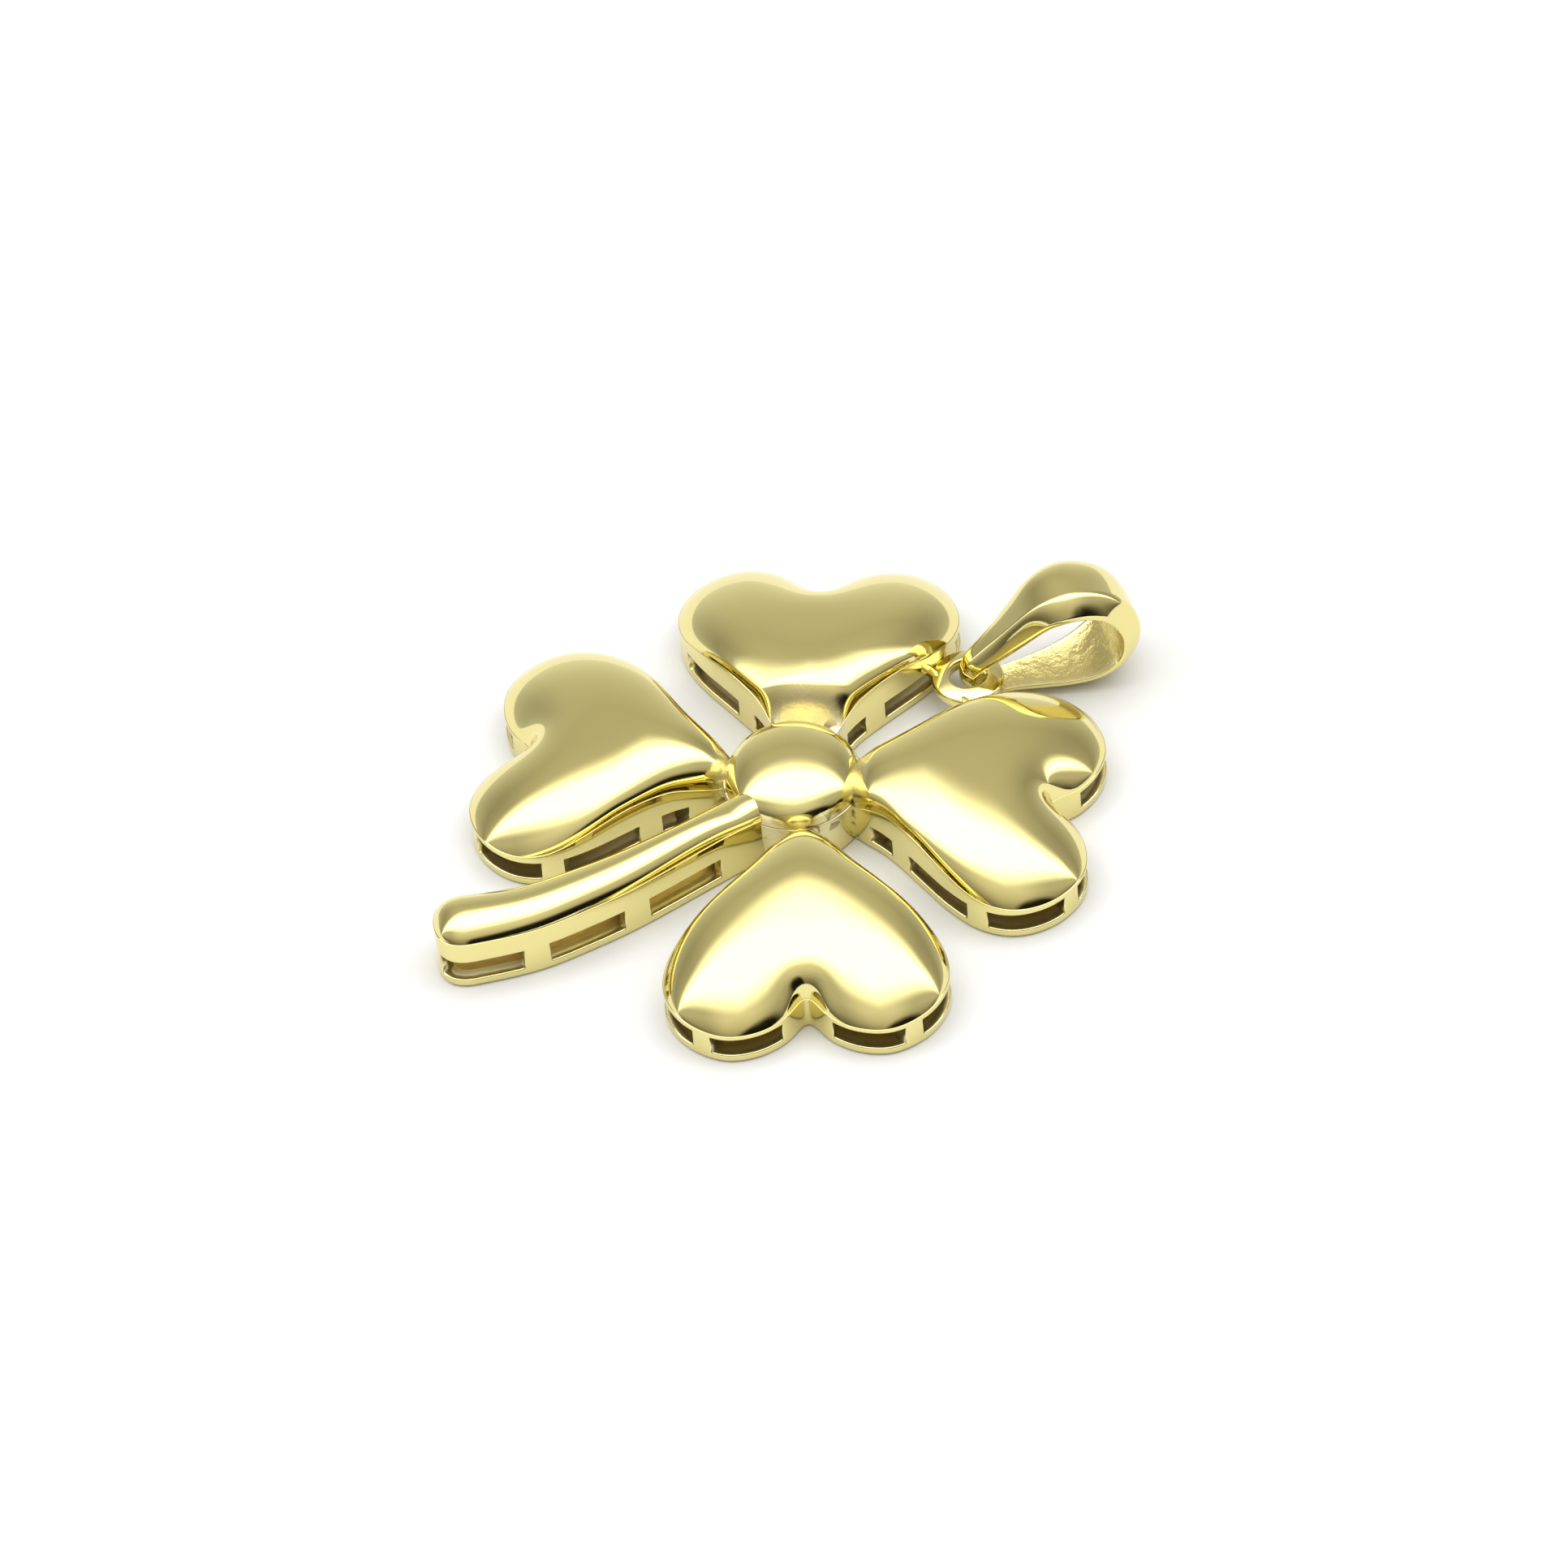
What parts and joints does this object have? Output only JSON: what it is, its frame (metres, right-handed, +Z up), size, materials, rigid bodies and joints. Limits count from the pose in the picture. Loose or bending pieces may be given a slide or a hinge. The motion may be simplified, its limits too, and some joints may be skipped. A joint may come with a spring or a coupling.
{
  "type": "clover pendant",
  "caption": "Polished hollow-cast gold pendant of heart-shaped clover leaves round a domed centre, with a curved stem, windowed side walls, an eye ring and a tapering loop bail.",
  "frame": {"origin": "underside of the back plate, below the middle of the centre dome", "axes": "+Z up out of the pendant's face, +Y towards the eye ring and bail, +X to the right of the face"},
  "size_m": [0.0215, 0.0275, 0.0048],
  "materials": {
    "gold": "mirror polished yellow gold",
    "bail_gold": "mirror polished outside, rough as cast inside, yellow gold"
  },
  "bodies": {
    "clover": {"clover": "gold"},
    "bail": {"bail": "bail_gold"}
  },
  "joints": [
    {"name": "bail_swing", "type": "hinge", "parent": "clover", "child": "bail", "pos_m": [0.00016, 0.00874, 0.00108], "axis": [0.9272, -0.3746, 0], "range_deg": [-30, 68]}
  ]
}
